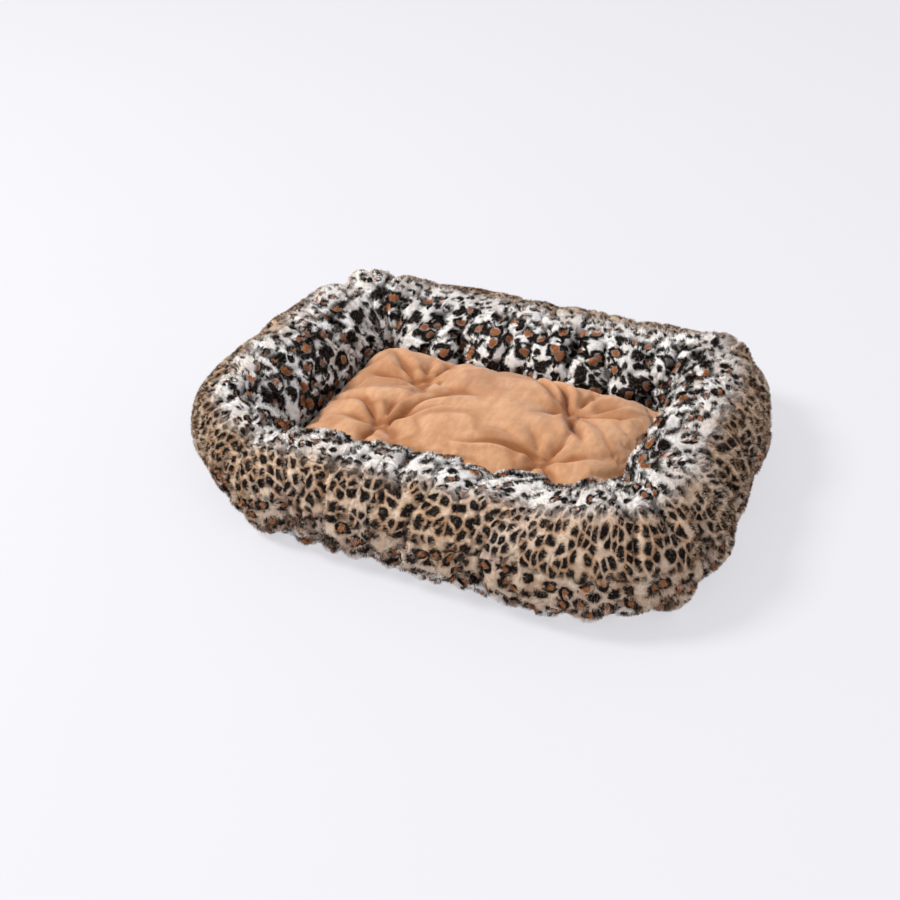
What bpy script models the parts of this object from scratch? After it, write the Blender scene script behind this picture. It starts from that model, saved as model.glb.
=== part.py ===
"""Rectangular pet bed, modelled piece by piece in metres, +Z up.

A ring of four fibre-filled bolsters with gathered plush covers is sewn to a padded base. A loose
cushion, tufted through at four points, lies in the well and lifts straight out.
The origin is on the floor, under the middle of the bed. X runs along the long sides.
"""
import math

import bpy
from mathutils import Vector

# Overall size
BED_LENGTH = 0.760              # X, over the bulge of the bolsters
BED_WIDTH = 0.660               # Y, over the bulge of the bolsters
BED_HEIGHT = 0.135              # Z, floor to the crown of the bolsters

# Bolster ring
LONG_ROLL_WIDTH = 0.180         # front and back bolsters, bulge to bulge
END_ROLL_WIDTH = 0.148          # left and right bolsters, bulge to bulge
OUTER_CORNER_RADIUS = 0.235     # in plan, at the bulge
WELL_CORNER_RADIUS = 0.030      # in plan, at the wall of the well
BULGE_HEIGHT = 0.055            # height of the widest line
FOOT_INSET = 0.030              # the hem stands this far inside the bulge
COVER_THICKNESS = 0.004         # plush backing with its pile pressed flat

# Base
BASE_COVER_THICKNESS = 0.0015
BASE_PAD_THICKNESS = 0.0120
FLOOR_LINER_THICKNESS = 0.0015
ELASTIC_RADIUS = 0.0015         # round elastic that gathers the plush at its two lower edges

# Loose cushion
CUSHION_CLEARANCE = 0.004       # to the wall of the well, all round
CUSHION_SEAM_HEIGHT = 0.026     # above the underside of the cushion
CUSHION_HEIGHT = 0.070          # underside to crown
CUSHION_SIDE_PULL = 0.006       # how far the middle of a side draws in between its corners
CUSHION_CLOTH_THICKNESS = 0.0015
FILL_CLEARANCE = 0.0012         # between the cushion's cloth and its fill
TUFT_SPACING_X = 0.235
TUFT_SPACING_Y = 0.130
TUFT_CENTRE_Y = -0.012          # the four tufts sit a little towards the front
TUFT_DEPTH_TOP = 0.030
TUFT_DEPTH_BOTTOM = 0.007
TUFT_SPREAD = 0.034             # how far a tuft's dimple reaches
TUFT_FLAT = 0.0055              # half side of the flat patch under a stitch
THREAD_RADIUS = 0.0010
STITCH_RADIUS = 0.0013          # bar stitch on the cushion's faces
STITCH_LENGTH = 0.0080

GAP = 0.0003                    # between pieces that touch

# Mesh density
ARC_STEPS = 4                   # half of a corner, in plan
STRAIGHT_STEPS = 2
PROFILE_STEPS = 4               # each quarter of a bolster's section
CUSHION_RIM_STEPS = 5           # from a tuft out to the cushion's edge
CUSHION_MIDDLE_STEPS = 4        # between two tufts
ROUND_SEGMENTS = 12
SHARP_ANGLE = math.radians(50)

BASE_TOP = BASE_COVER_THICKNESS + BASE_PAD_THICKNESS + FLOOR_LINER_THICKNESS + 2 * GAP
WELL_LENGTH = BED_LENGTH - 2 * END_ROLL_WIDTH
WELL_WIDTH = BED_WIDTH - 2 * LONG_ROLL_WIDTH
ELASTIC_ROOM = 4 * ELASTIC_RADIUS + 2 * GAP
SIDES = ("front", "right", "back", "left")

# Colours, linear RGB
PLUSH = (0.46, 0.33, 0.21)
FIBRE = (0.86, 0.86, 0.84)
BASE_CLOTH = (0.10, 0.085, 0.075)
TAN_CLOTH = (0.55, 0.30, 0.15)
ELASTIC = (0.75, 0.73, 0.68)
THREAD = (0.33, 0.16, 0.07)


# --- scene helpers ---------------------------------------------------------------------------

def clear_scene():
    for item in list(bpy.data.objects):
        bpy.data.objects.remove(item, do_unlink=True)


def make_collection(name):
    collection = bpy.data.collections.new(name)
    bpy.context.scene.collection.children.link(collection)
    return collection


def make_material(name, color, roughness=0.9):
    material = bpy.data.materials.new(name)
    material.use_nodes = True
    shader = material.node_tree.nodes["Principled BSDF"]
    shader.inputs["Base Color"].default_value = (*color, 1.0)
    shader.inputs["Roughness"].default_value = roughness
    shader.inputs["Metallic"].default_value = 0.0
    return material


def add_solid(name, vertices, faces, color):
    mesh = bpy.data.meshes.new(name)
    mesh.from_pydata(vertices, [], faces)
    mesh.shade_smooth()
    mesh.set_sharp_from_angle(angle=SHARP_ANGLE)
    mesh.materials.append(make_material(name, color))
    item = bpy.data.objects.new(name, mesh)
    parts.objects.link(item)
    return item


def add_boolean(item, other, operation):
    change = item.modifiers.new(other.name, "BOOLEAN")
    change.operation = operation
    change.solver = "EXACT"
    change.object = other


# --- plan of the bed ---------------------------------------------------------------------------

def side_station(half_x, half_y, radius, side, t):
    """Point and outward normal on a rounded rectangle; t runs -1 to 1 from mitre to mitre."""
    along, out = (half_x, half_y) if side in ("front", "back") else (half_y, half_x)
    straight = STRAIGHT_STEPS / (STRAIGHT_STEPS + 2 * ARC_STEPS)
    turn = math.copysign(max(0.0, abs(t) - straight) / (1 - straight) * math.pi / 4, t)
    run = max(-1.0, min(1.0, t / straight)) * (along - radius)
    point = Vector((run + radius * math.sin(turn), radius - out - radius * math.cos(turn), 0))
    normal = Vector((math.sin(turn), -math.cos(turn), 0))
    for _ in range(SIDES.index(side)):
        point = Vector((-point.y, point.x, 0))
        normal = Vector((-normal.y, normal.x, 0))
    return point, normal


def rounded_outline(length, width, radius):
    """Points round a rounded rectangle, anticlockwise from above."""
    count = STRAIGHT_STEPS + 2 * ARC_STEPS
    return [side_station(length / 2, width / 2, radius, side, -1 + 2 * step / count)[0]
            for side in SIDES for step in range(count)]


def foot_outline(inset):
    """The footprint at the bulge drawn in by inset."""
    return rounded_outline(BED_LENGTH - 2 * inset, BED_WIDTH - 2 * inset, OUTER_CORNER_RADIUS - inset)


def well_outline(offset):
    """The outline of the well grown by offset."""
    return rounded_outline(WELL_LENGTH + 2 * offset, WELL_WIDTH + 2 * offset, WELL_CORNER_RADIUS + offset)


# --- bolsters ----------------------------------------------------------------------------------

def quarter_ellipse(start, end, leaves_upright):
    """Points of a quarter ellipse from start to end, without the start point."""
    points = []
    for step in range(1, PROFILE_STEPS + 1):
        angle = math.pi / 2 * step / PROFILE_STEPS
        early, late = math.sin(angle), 1 - math.cos(angle)
        rise, run = (early, late) if leaves_upright else (late, early)
        points.append((start[0] + (end[0] - start[0]) * run, start[1] + (end[1] - start[1]) * rise))
    return points


def bolster_profile(width, slant, inset, foot_z, inner_z):
    """Section from the outer foot over the crown to the inner foot, as (distance in, height).

    Horizontal insets are square to the wall, so a spoke that crosses it at a slant stretches them.
    """
    foot = ((FOOT_INSET + inset) * slant, foot_z)
    bulge = (inset * slant, BULGE_HEIGHT)
    crown = (width / 2, BED_HEIGHT - inset)
    inner_bulge = (width - inset * slant, BULGE_HEIGHT)
    points = [foot]
    points += quarter_ellipse(foot, bulge, leaves_upright=False)
    points += quarter_ellipse(bulge, crown, leaves_upright=True)
    points += quarter_ellipse(crown, inner_bulge, leaves_upright=False)
    points.append((width - inset * slant, inner_z))
    return points


def bolster_spokes(side):
    """Plan stations of one bolster: outer point, unit vector inwards, width and slant."""
    count = STRAIGHT_STEPS + 2 * ARC_STEPS
    spokes = []
    for index in range(count + 1):
        t = -1 + 2 * index / count
        outer, normal = side_station(BED_LENGTH / 2, BED_WIDTH / 2, OUTER_CORNER_RADIUS, side, t)
        inner, _ = side_station(WELL_LENGTH / 2, WELL_WIDTH / 2, WELL_CORNER_RADIUS, side, t)
        width = (inner - outer).length
        inwards = (inner - outer) / width
        slant = -1 / inwards.dot(normal)
        if index in (0, count):
            to_middle = Vector((inwards.y, -inwards.x, 0)) * (1 if index == 0 else -1)
            outer = outer + to_middle * GAP / 2
        spokes.append((outer, inwards, width, slant))
    return spokes


def loft(name, sections, color):
    """Closed solid through sections of equal point count, each listed as a closed loop."""
    count = len(sections[0])
    vertices = [point for section in sections for point in section]
    faces = []
    for row in range(len(sections) - 1):
        a, b = row * count, (row + 1) * count
        for i in range(count):
            j = (i + 1) % count
            faces.append((a + i, b + i, b + j, a + j))
    last = (len(sections) - 1) * count
    faces.append(tuple(range(count)))
    faces.append(tuple(last + i for i in reversed(range(count))))
    return add_solid(name, vertices, faces, color)


def place_section(outer, inwards, profile):
    return [outer + inwards * distance + Vector((0, 0, height)) for distance, height in profile]


def add_bolster_cover(side):
    foot_z, inner_z = BASE_COVER_THICKNESS + GAP, BASE_TOP + GAP
    sections = []
    for outer, inwards, width, slant in bolster_spokes(side):
        outside = bolster_profile(width, slant, 0, foot_z, inner_z)
        inside = bolster_profile(width, slant, COVER_THICKNESS, foot_z, inner_z)
        sections.append(place_section(outer, inwards, outside + inside[::-1]))
    return loft("bolster_cover_" + side, sections, PLUSH)


def add_bolster_fill(side):
    """The roll of fibre, cut back at its inner foot where the elastic runs."""
    inset = COVER_THICKNESS + GAP
    floor_z = BASE_TOP + GAP
    sections = []
    for outer, inwards, width, slant in bolster_spokes(side):
        profile = bolster_profile(width, slant, inset, floor_z, floor_z + ELASTIC_ROOM)
        profile.append((width - (inset + ELASTIC_ROOM) * slant, floor_z))
        sections.append(place_section(outer, inwards, profile))
    return loft("bolster_fill_" + side, sections, FIBRE)


# --- base --------------------------------------------------------------------------------------

def add_curve_object(name, outline, height, color):
    curve = bpy.data.curves.new(name, "CURVE")
    spline = curve.splines.new("POLY")
    spline.points.add(len(outline) - 1)
    for point, place in zip(spline.points, outline):
        point.co = (place.x, place.y, 0, 1)
    spline.use_cyclic_u = True
    curve.materials.append(make_material(name, color))
    item = bpy.data.objects.new(name, curve)
    item.location.z = height
    parts.objects.link(item)
    return curve


def add_sheet(name, inset, bottom, thickness, color):
    """Flat sheet with the footprint's outline drawn in by inset."""
    curve = add_curve_object(name, foot_outline(inset), bottom + thickness / 2, color)
    curve.dimensions = "2D"
    curve.fill_mode = "BOTH"
    curve.extrude = thickness / 2


def add_elastic(name, outline, floor_height):
    """Closed loop of round elastic that lies on floor_height."""
    curve = add_curve_object(name, outline, floor_height + GAP + ELASTIC_RADIUS, ELASTIC)
    curve.dimensions = "3D"
    curve.bevel_depth = ELASTIC_RADIUS
    curve.bevel_resolution = 1


def add_base():
    pad_inset = FOOT_INSET + COVER_THICKNESS + 2 * ELASTIC_RADIUS + 2 * GAP
    pad_bottom = BASE_COVER_THICKNESS + GAP
    liner_bottom = pad_bottom + BASE_PAD_THICKNESS + GAP
    add_sheet("base_cover", FOOT_INSET, 0, BASE_COVER_THICKNESS, BASE_CLOTH)
    add_sheet("base_pad", pad_inset, pad_bottom, BASE_PAD_THICKNESS, FIBRE)
    add_sheet("floor_liner", pad_inset, liner_bottom, FLOOR_LINER_THICKNESS, BASE_CLOTH)
    to_elastic = COVER_THICKNESS + GAP + ELASTIC_RADIUS
    add_elastic("hem_elastic", foot_outline(FOOT_INSET + to_elastic), BASE_COVER_THICKNESS)
    add_elastic("well_elastic", well_outline(to_elastic), BASE_TOP)


# --- cushion, in a frame whose origin is the middle of its underside ---------------------------

CUSHION_HALF_X = WELL_LENGTH / 2 - CUSHION_CLEARANCE
CUSHION_HALF_Y = WELL_WIDTH / 2 - CUSHION_CLEARANCE
CORNER_EASE = WELL_CORNER_RADIUS * (1 - math.sqrt(0.5))
TUFT_P = TUFT_SPACING_X / 2 / CUSHION_HALF_X
TUFT_Q = TUFT_SPACING_Y / 2 / CUSHION_HALF_Y


def shifted(q):
    """q moved as the tufts' centre is, with the edges at -1 and 1 left in place."""
    return q + TUFT_CENTRE_Y / CUSHION_HALF_Y * (1 - q * q) / (1 - TUFT_Q * TUFT_Q)


TUFTS = {"front_left": (-TUFT_P, shifted(-TUFT_Q)), "front_right": (TUFT_P, shifted(-TUFT_Q)),
         "back_left": (-TUFT_P, shifted(TUFT_Q)), "back_right": (TUFT_P, shifted(TUFT_Q))}


def cushion_plan(p, q, inset):
    """Map p and q, each -1 to 1, to the plan: sides drawn in, corners eased to fit the well."""
    ease = CORNER_EASE * (p * q) ** 4
    x = p * (CUSHION_HALF_X - inset - CUSHION_SIDE_PULL * (1 - q * q) - ease)
    y = q * (CUSHION_HALF_Y - inset - CUSHION_SIDE_PULL * (1 - p * p) - ease)
    return x, y


def fullness(p, q):
    """1 over most of the cushion, falling to 0 at its edge."""
    return math.sqrt(max(0.0, (1 - p ** 4) * (1 - q ** 4)))


def dimple(p, q):
    """1 on the flat patch at a tuft, falling to 0 away from it."""
    here = Vector(cushion_plan(p, q, 0))
    nearest = min((here - Vector(cushion_plan(*tuft, 0))).length for tuft in TUFTS.values())
    reach = max(0.0, nearest - TUFT_FLAT * math.sqrt(2))
    return math.exp(-(reach / TUFT_SPREAD) ** 2)


def upper_face(p, q, inset):
    x, y = cushion_plan(p, q, inset)
    rise = CUSHION_HEIGHT - CUSHION_SEAM_HEIGHT - inset - TUFT_DEPTH_TOP * dimple(p, q)
    return Vector((x, y, CUSHION_SEAM_HEIGHT + GAP + rise * fullness(p, q)))


def lower_face(p, q, inset):
    x, y = cushion_plan(p, q, inset)
    full = fullness(p, q)
    drop = (CUSHION_SEAM_HEIGHT - inset) * (1 - (1 - full) ** 2)
    return Vector((x, y, CUSHION_SEAM_HEIGHT - drop + TUFT_DEPTH_BOTTOM * dimple(p, q) * full))


def grid_lines(tuft, flat):
    """Values from -1 to 1 with lines through both tufts and both edges of their flat patches."""
    inner, outer = tuft - flat, tuft + flat
    middle = [inner * (2 * step / CUSHION_MIDDLE_STEPS - 1) for step in range(CUSHION_MIDDLE_STEPS + 1)]
    rim = [outer + (1 - outer) * math.sin(math.pi / 2 * step / CUSHION_RIM_STEPS)
           for step in range(CUSHION_RIM_STEPS + 1)]
    return [-value for value in reversed(rim)] + [-tuft] + middle + [tuft] + rim


def face_grid(face, inset):
    lines_x = grid_lines(TUFT_P, TUFT_FLAT / CUSHION_HALF_X)
    lines_y = [shifted(q) for q in grid_lines(TUFT_Q, TUFT_FLAT / CUSHION_HALF_Y)]
    return [[face(p, q, inset) for p in lines_x] for q in lines_y]


def solid_between(name, lower, upper, color):
    """Closed solid between two grids of equal size, joined round their edges.

    Each cell is split along the same diagonal in every solid, so that nested faces stay apart.
    """
    rows, columns = len(lower), len(lower[0])
    size = rows * columns
    vertices = [point for grid in (lower, upper) for row in grid for point in row]
    faces = []
    for j in range(rows - 1):
        for i in range(columns - 1):
            a = j * columns + i
            quad = (a, a + 1, a + columns + 1, a + columns)
            if (2 * i < columns - 1) != (2 * j < rows - 1):
                quad = quad[1:] + quad[:1]
            for triangle in (quad[:3], (quad[0], quad[2], quad[3])):
                faces.append(tuple(reversed(triangle)))
                faces.append(tuple(size + corner for corner in triangle))
    front = list(range(columns))
    right = [j * columns + columns - 1 for j in range(1, rows)]
    back = [(rows - 1) * columns + i for i in reversed(range(columns - 1))]
    left = [j * columns for j in reversed(range(1, rows - 1))]
    rim = front + right + back + left
    for a, b in zip(rim, rim[1:] + rim[:1]):
        faces.append((a, b, size + b, size + a))
    return add_solid(name, vertices, faces, color)


def add_cylinder(name, radius, depth, location, lies_along_x=False):
    rotation = (0, math.pi / 2, 0) if lies_along_x else (0, 0, 0)
    bpy.ops.mesh.primitive_cylinder_add(vertices=ROUND_SEGMENTS, radius=radius, depth=depth,
                                        location=location, rotation=rotation)
    item = bpy.context.object
    item.name = name
    for collection in list(item.users_collection):
        collection.objects.unlink(item)
    item.hide_render = True
    item.display_type = "WIRE"
    cutters.objects.link(item)
    return item


def add_tuft(name, p, q, pieces):
    """Thread through the cushion with a bar stitch on each face, and its holes in the pieces."""
    high, low = upper_face(p, q, 0), lower_face(p, q, 0)
    bar_top = high + Vector((0, 0, GAP + STITCH_RADIUS))
    bar_bottom = low - Vector((0, 0, GAP + STITCH_RADIUS))
    middle = (bar_top + bar_bottom) / 2
    length = bar_top.z - bar_bottom.z
    thread = add_cylinder("tuft_thread_" + name, THREAD_RADIUS, length, middle)
    thread.hide_render = False
    thread.display_type = "TEXTURED"
    thread.data.shade_smooth()
    thread.data.set_sharp_from_angle(angle=SHARP_ANGLE)
    thread.data.materials.append(make_material(thread.name, THREAD))
    cutters.objects.unlink(thread)
    parts.objects.link(thread)
    for face, place in (("top", bar_top), ("bottom", bar_bottom)):
        bar = add_cylinder("stitch_" + name + "_" + face, STITCH_RADIUS, STITCH_LENGTH, place, True)
        bar.parent = cushion_frame
        add_boolean(thread, bar, "UNION")
    hole = add_cylinder("hole_" + name, THREAD_RADIUS + GAP, length, middle)
    hole.parent = cushion_frame
    for piece in pieces:
        add_boolean(piece, hole, "DIFFERENCE")
    return thread


def add_cushion():
    cloth = CUSHION_CLOTH_THICKNESS
    inside = cloth + FILL_CLEARANCE
    top = solid_between("cushion_top_cover", face_grid(upper_face, cloth),
                        face_grid(upper_face, 0), TAN_CLOTH)
    bottom = solid_between("cushion_bottom_cover", face_grid(lower_face, 0),
                           face_grid(lower_face, cloth), TAN_CLOTH)
    fill = solid_between("cushion_fill", face_grid(lower_face, inside),
                         face_grid(upper_face, inside), FIBRE)
    pieces = [top, bottom, fill]
    threads = [add_tuft(name, p, q, pieces) for name, (p, q) in TUFTS.items()]
    for piece in pieces + threads:
        piece.parent = cushion_frame


clear_scene()
parts = make_collection("pet_bed")
cutters = make_collection("cutters")
cushion_frame = bpy.data.objects.new("cushion_frame", None)
cushion_frame.location.z = BASE_TOP + GAP
parts.objects.link(cushion_frame)

add_base()
for side_name in SIDES:
    add_bolster_fill(side_name)
    add_bolster_cover(side_name)
add_cushion()
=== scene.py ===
"""Looks of the pet bed: a gathered plush ring of four bolsters round a tufted cushion."""

import math

import bpy
import numpy as np
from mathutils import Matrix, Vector


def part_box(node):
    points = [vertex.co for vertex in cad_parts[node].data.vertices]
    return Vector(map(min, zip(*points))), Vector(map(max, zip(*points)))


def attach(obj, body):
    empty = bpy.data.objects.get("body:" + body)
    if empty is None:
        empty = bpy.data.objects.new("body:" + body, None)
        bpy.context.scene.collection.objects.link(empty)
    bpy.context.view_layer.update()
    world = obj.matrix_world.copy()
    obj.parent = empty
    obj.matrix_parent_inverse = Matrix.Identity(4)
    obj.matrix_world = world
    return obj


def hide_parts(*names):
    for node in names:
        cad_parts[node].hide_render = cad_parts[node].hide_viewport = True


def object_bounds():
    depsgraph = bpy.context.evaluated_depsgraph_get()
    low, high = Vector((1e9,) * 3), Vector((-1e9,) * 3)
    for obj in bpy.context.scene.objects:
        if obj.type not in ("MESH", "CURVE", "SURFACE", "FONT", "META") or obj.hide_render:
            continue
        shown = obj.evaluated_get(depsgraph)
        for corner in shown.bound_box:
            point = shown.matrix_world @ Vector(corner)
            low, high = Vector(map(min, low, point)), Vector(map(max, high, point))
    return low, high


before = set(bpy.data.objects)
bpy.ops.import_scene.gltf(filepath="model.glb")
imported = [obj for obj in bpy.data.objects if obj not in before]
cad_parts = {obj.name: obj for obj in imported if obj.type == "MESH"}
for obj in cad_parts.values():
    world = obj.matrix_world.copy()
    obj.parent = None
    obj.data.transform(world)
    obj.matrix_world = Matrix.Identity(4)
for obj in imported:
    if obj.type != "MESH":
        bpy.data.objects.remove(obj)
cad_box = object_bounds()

MM = 0.001
LOW, HIGH = (np.array(corner) for corner in cad_box)

# --- sizes of the bed, in metres ---

HALF_X, HALF_Y, CROWN_HEIGHT = HIGH[0], HIGH[1], HIGH[2]
LONG_ROLL_WIDTH = 0.180         # front and back bolsters
END_ROLL_WIDTH = 0.148          # left and right bolsters
WELL_X, WELL_Y = HALF_X - END_ROLL_WIDTH, HALF_Y - LONG_ROLL_WIDTH
OUTER_CORNER = 0.235
WELL_CORNER = 0.030
BULGE_HEIGHT = 0.055
HEM_INSET = 0.041               # of the plush's hem, so that its pile ends over the edge of the base
STRAIGHT_SHARE = 0.2            # of a side's stations that lie on its straight part
BASE_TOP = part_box("floor_liner")[1].z

COLUMNS, ROWS = 400, 60         # of the simulated plush: round the ring, and over its section
PLUSH_INSET = 6.5 * MM          # backing of the plush inside the CAD surface, before it swells
SIDES = ("front", "right", "back", "left")
WRAP = -1.5                     # the ring's grid starts at the mitre between left and back

# Where the outer wall stands in or out: place on the ring, how far it reaches, and by how much
WALL_SHIFTS = ((-0.40, 0.16, -0.031), (0.53, 0.16, 0.030), (2.80, 0.20, 0.004), (0.12, 0.12, -0.005),
               (1.15, 0.14, -0.006), (-0.75, 0.12, 0.003))
WELL_SHIFT = (3.25, 0.13, 0.012)  # of the wall of the well, towards the outside

# Where the filling has settled or bunched up: place on the ring, how far it reaches, and by how much
CREST_LIFTS = ((2.0, 0.23, -0.031), (-0.15, 0.16, -0.016), (-0.42, 0.08, -0.012), (2.5, 0.05, 0.003),
               (1.55, 0.05, 0.003), (3.0, 0.16, -0.004), (1.0, 0.14, -0.004), (0.5, 0.06, -0.001),
               (0.30, 0.10, 0.004), (0.74, 0.08, 0.005))

# Where the crown lies nearer to the outer wall (below 0) or to the well, as a share of the roll's width
CREST_SHIFTS = ((-0.05, 0.18, -0.06), (0.33, 0.09, 0.06), (0.72, 0.10, 0.06))

rng = np.random.default_rng(20)


# --- noise on arrays ---

def lattice(i, j, seed):
    """Repeatable values 0 to 1 for whole numbers i and j."""
    n = (i.astype(np.int64) * 374761393 + j.astype(np.int64) * 668265263 + seed * 1442695041) & 0xFFFFFFFF
    n = ((n ^ (n >> 13)) * 1274126177) & 0xFFFFFFFF
    n = ((n ^ (n >> 16)) * 2246822519) & 0xFFFFFFFF
    return ((n ^ (n >> 15)) & 0xFFFFFF) / float(0xFFFFFF)


def noise(x, y, seed, wrap=None):
    """Smooth noise, -1 to 1, with one feature a unit. It repeats after wrap units of x."""
    i, j = np.floor(x), np.floor(y)
    fx, fy = x - i, y - j
    fx, fy = fx * fx * fx * (fx * (fx * 6 - 15) + 10), fy * fy * fy * (fy * (fy * 6 - 15) + 10)
    i1 = i + 1
    if wrap:
        i, i1 = i % wrap, i1 % wrap
    a, b = lattice(i, j, seed), lattice(i1, j, seed)
    c, d = lattice(i, j + 1, seed), lattice(i1, j + 1, seed)
    return 2 * ((a + (b - a) * fx) * (1 - fy) + (c + (d - c) * fx) * fy) - 1


def cells(x, y, seed, jitter=0.85):
    """Distances to the two nearest of scattered points, one a unit square, and the way to the nearest."""
    first = np.full(x.shape, 9.0)
    second = np.full(x.shape, 9.0)
    near_x, near_y = np.zeros(x.shape), np.zeros(x.shape)
    i, j = np.floor(x), np.floor(y)
    for di in (-1, 0, 1):
        for dj in (-1, 0, 1):
            ci, cj = i + di, j + dj
            px = ci + 0.5 + jitter * (lattice(ci, cj, seed) - 0.5) - x
            py = cj + 0.5 + jitter * (lattice(ci, cj, seed + 7) - 0.5) - y
            d = np.hypot(px, py)
            nearer = d < first
            second = np.where(nearer, first, np.minimum(second, d))
            near_x, near_y = np.where(nearer, px, near_x), np.where(nearer, py, near_y)
            first = np.minimum(first, d)
    return first, second, near_x, near_y


def smoothstep(low, high, x):
    t = np.clip((x - low) / (high - low), 0, 1)
    return t * t * (3 - 2 * t)


# --- meshes ---

def make_mesh(name, points, faces):
    """Mesh object from arrays: points (n, 3) and faces (m, 3) or (m, 4)."""
    mesh = bpy.data.meshes.new(name)
    corners = faces.shape[1]
    mesh.vertices.add(len(points))
    mesh.vertices.foreach_set("co", np.ascontiguousarray(points, np.float32).ravel())
    mesh.loops.add(faces.size)
    mesh.loops.foreach_set("vertex_index", np.ascontiguousarray(faces, np.int32).ravel())
    mesh.polygons.add(len(faces))
    mesh.polygons.foreach_set("loop_start", np.arange(0, faces.size, corners, dtype=np.int32))
    mesh.update(calc_edges=True)
    mesh.validate()
    mesh.shade_smooth()
    item = bpy.data.objects.new(name, mesh)
    bpy.context.scene.collection.objects.link(item)
    return item


def add_point_values(item, name, values):
    """Store a vector or a colour at each point, for the materials."""
    kind, field = ("FLOAT_VECTOR", "vector") if values.shape[1] == 3 else ("FLOAT_COLOR", "color")
    layer = item.data.attributes.new(name, kind, "POINT")
    layer.data.foreach_set(field, np.ascontiguousarray(values, np.float32).ravel())


def add_bake_map(item, uv):
    """UV map, 0 to 1, from one pair of values a point."""
    layer = item.data.uv_layers.new(name="OFBake")
    index = np.zeros(len(item.data.loops), np.int32)
    item.data.loops.foreach_get("vertex_index", index)
    layer.data.foreach_set("uv", np.ascontiguousarray(uv[index], np.float32).ravel())


def unit(v):
    return v / np.maximum(np.linalg.norm(v, axis=-1, keepdims=True), 1e-9)


def quads_of(ids, up=True):
    """Faces of a grid of point numbers, wound to face up or down."""
    quads = [ids[:-1, :-1], ids[1:, :-1], ids[1:, 1:], ids[:-1, 1:]]
    return np.stack(quads if up else quads[::-1], -1).reshape(-1, 4)


def grid_faces(columns, rows, closed):
    """Faces of a grid of points, which may close round its first axis."""
    ids = np.arange(columns * rows).reshape(columns, rows)
    return quads_of(np.concatenate([ids, ids[:1]]) if closed else ids)


def grid_normals(points):
    """Outward normals of the ring's grid, which is closed round its first axis."""
    along = np.roll(points, -1, 0) - np.roll(points, 1, 0)
    over = np.gradient(points, axis=1)
    return unit(np.cross(along, over))


def doubled(values, axis, closed):
    """Twice as many samples along an axis, on smooth curves through the old ones."""
    values = np.moveaxis(values, axis, 0)
    if closed:
        before, after, beyond = np.roll(values, 1, 0), np.roll(values, -1, 0), np.roll(values, -2, 0)
        middle = (9 * (values + after) - before - beyond) / 16
    else:
        padded = np.concatenate([2 * values[:1] - values[1:2], values, 2 * values[-1:] - values[-2:-1]])
        middle = (9 * (padded[1:-2] + padded[2:-1]) - padded[:-3] - padded[3:]) / 16
    count = len(values) + len(middle)
    out = np.empty((count,) + values.shape[1:])
    out[0::2], out[1::2] = values, middle
    return np.moveaxis(out, 0, axis)


# --- the plush ring ---

def outline(half_x, half_y, radius, station):
    """Plan of a rounded rectangle. A side's middle is at a whole number, its mitres at the halves."""
    nearest = np.floor(station + 0.5)
    t = (station - nearest) * 2
    side = nearest.astype(int) % 4
    along = np.where(side % 2 == 0, half_x, half_y)
    out = np.where(side % 2 == 0, half_y, half_x)
    turn = np.sign(t) * np.maximum(0, np.abs(t) - STRAIGHT_SHARE) / (1 - STRAIGHT_SHARE) * math.pi / 4
    run = np.clip(t / STRAIGHT_SHARE, -1, 1) * (along - radius)
    x = run + radius * np.sin(turn)
    y = radius - out - radius * np.cos(turn)
    c, s = np.cos(side * math.pi / 2), np.sin(side * math.pi / 2)
    return np.stack([c * x - s * y, s * x + c * y], -1)


def section(width, crown_share, crown_height, inset, steps):
    """Points evenly spaced over a bolster, from its outer foot to its inner foot: in, and up."""
    q = np.linspace(0, math.pi / 2, 40)
    flat, steep = np.sin(q), 1 - np.cos(q)
    foot = (HEM_INSET, 1.5 * MM)
    bulge = (inset, BULGE_HEIGHT)
    crown = (width * crown_share, crown_height - inset)
    wall = (width - inset * 0.6, BULGE_HEIGHT)
    runs = [((foot, bulge), flat, steep), ((bulge, crown), steep, flat), ((crown, wall), flat, steep)]
    line = [np.stack([a[0] + (b[0] - a[0]) * across, a[1] + (b[1] - a[1]) * up], -1)
            for (a, b), across, up in runs]
    line.append(np.stack([np.full(12, wall[0]), np.linspace(wall[1], BASE_TOP + MM, 12)], -1))
    line = np.concatenate(line)
    run = np.r_[0, np.cumsum(np.hypot(*np.diff(line, axis=0).T))]
    at = np.linspace(0, run[-1], steps)
    return np.stack([np.interp(at, run, line[:, 0]), np.interp(at, run, line[:, 1])], -1), run[-1]


def along_weight(station, where, spread, length):
    """1 at a place on the ring, given by its station, falling off over spread metres."""
    apart = (station - where + 2) % 4 - 2
    return np.exp(-(apart * length / 4 / spread) ** 2)


def crest_line(station, length):
    """Height of the crown, and how far in it lies as a share of the roll's width."""
    height = np.full(station.shape, CROWN_HEIGHT)
    for where, spread, lift in CREST_LIFTS:
        height += lift * along_weight(station, where, spread, length)
    share = np.full(station.shape, 0.5)
    for where, spread, shift in CREST_SHIFTS:
        share += shift * along_weight(station, where, spread, length)
    return height, share


def footprint(inset, station, length):
    """Plan line at a distance inside the widest line, shifted as the outer wall is."""
    outer = outline(HALF_X, HALF_Y, OUTER_CORNER, station)
    inwards = unit(outline(WELL_X, WELL_Y, WELL_CORNER, station) - outer)
    shift = sum(lift * along_weight(station, where, spread, length) for where, spread, lift in WALL_SHIFTS)
    return outline(HALF_X - inset, HALF_Y - inset, OUTER_CORNER - inset, station) - inwards * shift[:, None]


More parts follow.
